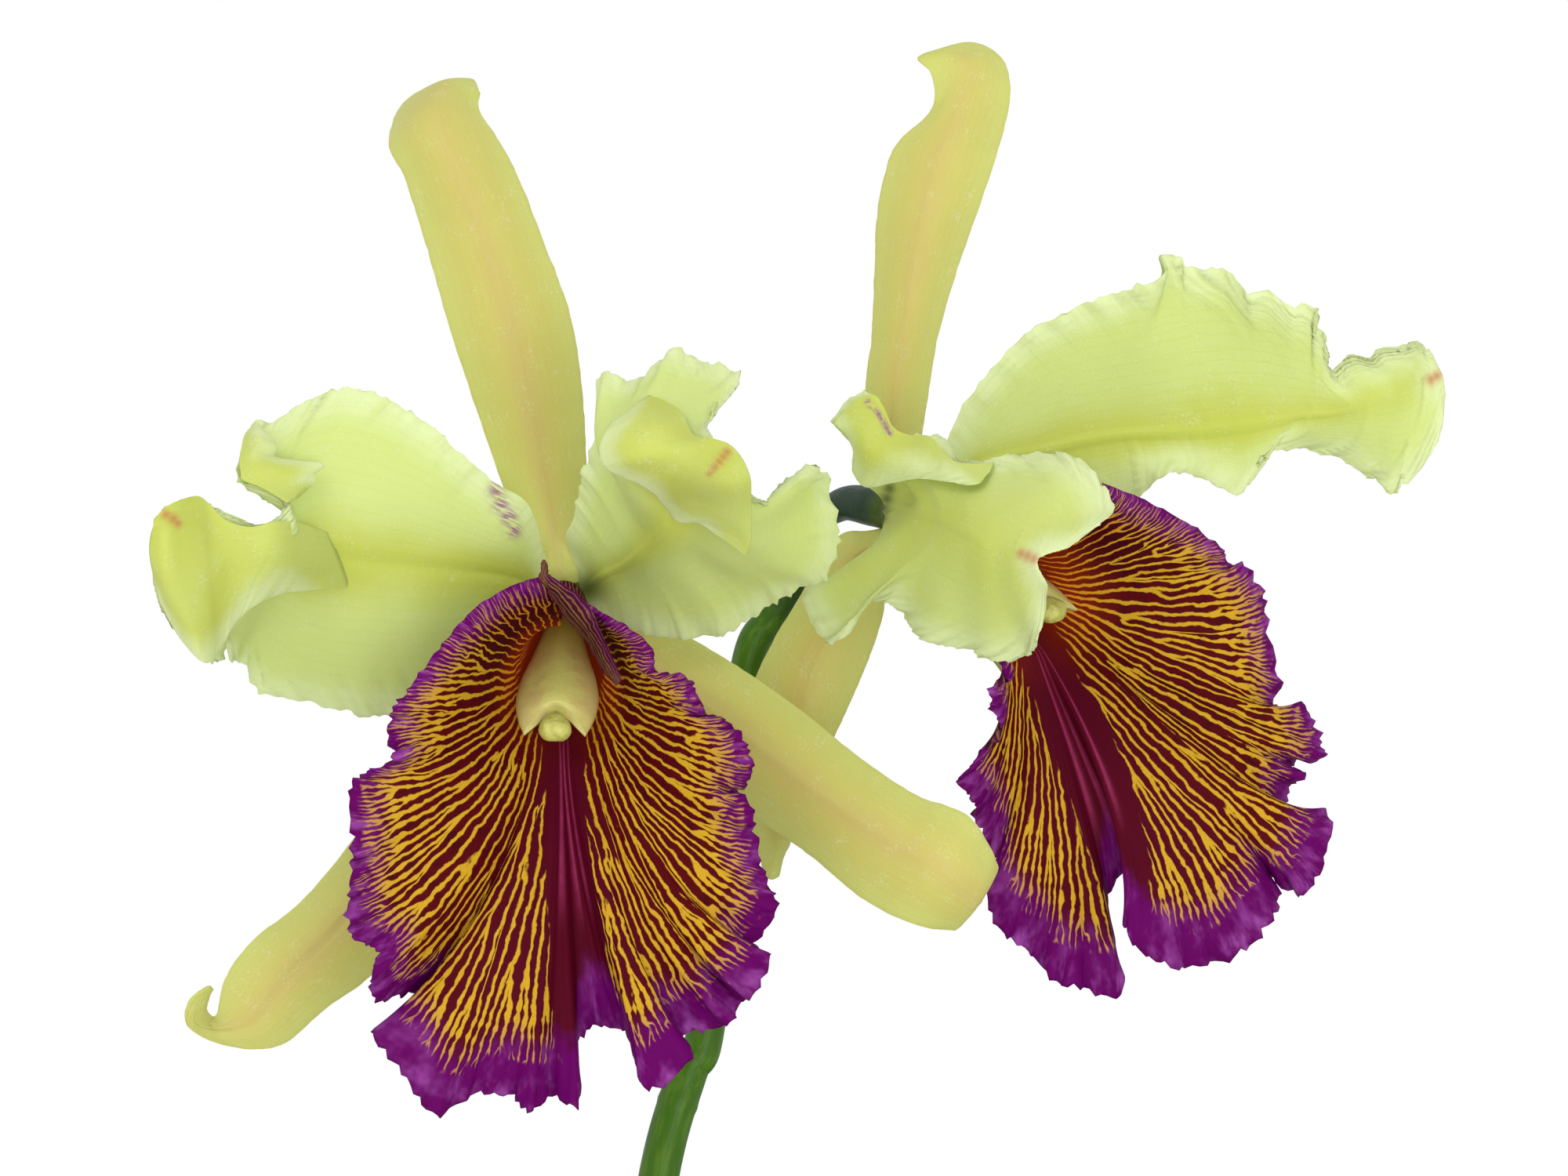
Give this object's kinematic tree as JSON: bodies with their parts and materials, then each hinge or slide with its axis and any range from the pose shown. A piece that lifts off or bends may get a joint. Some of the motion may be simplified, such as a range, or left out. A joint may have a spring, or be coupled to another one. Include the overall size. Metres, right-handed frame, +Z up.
{
  "type": "potted cattleya orchid",
  "caption": "Orchid in a round clay pot: swollen stems with strap leaves and a flower stem with large open blooms, each with pale sepals and petals and a ruffled dark lip.",
  "frame": {"origin": "centre of the pot's foot, on the surface it stands on", "axes": "+Z up; the blooms look toward -Y; +X to the right as seen from in front of the blooms"},
  "size_m": [0.2558, 0.2292, 0.4947],
  "materials": {
    "clay": "unglazed, matte",
    "bark": "rough bark chips",
    "root": "matte, spongy",
    "stem": "satin, fleshy",
    "leaf": "satin, leathery",
    "sheath": "dry, papery",
    "sepal": "soft, slightly translucent",
    "petal": "soft, slightly translucent",
    "lip": "velvety with golden veins",
    "column": "fleshy, satin",
    "anther": "fleshy, satin"
  },
  "bodies": {
    "root": {"pot": "clay", "potting_bark": "bark", "roots": "root", "pseudobulbs": "stem", "leaf_1": "leaf", "leaf_2": "leaf", "leaf_3": "leaf", "leaf_4": "leaf", "flower_sheath": "sheath", "flower_stem": "stem", "bloom_1_dorsal_sepal": "sepal", "bloom_1_lateral_sepal_left": "sepal", "bloom_1_lateral_sepal_right": "sepal", "bloom_1_petal_left": "petal", "bloom_1_petal_right": "petal", "bloom_1_lip": "lip", "bloom_1_column": "column", "bloom_1_anther_cap": "anther", "bloom_2_dorsal_sepal": "sepal", "bloom_2_lateral_sepal_left": "sepal", "bloom_2_lateral_sepal_right": "sepal", "bloom_2_petal_left": "petal", "bloom_2_petal_right": "petal", "bloom_2_lip": "lip", "bloom_2_column": "column", "bloom_2_anther_cap": "anther"}
  },
  "joints": []
}
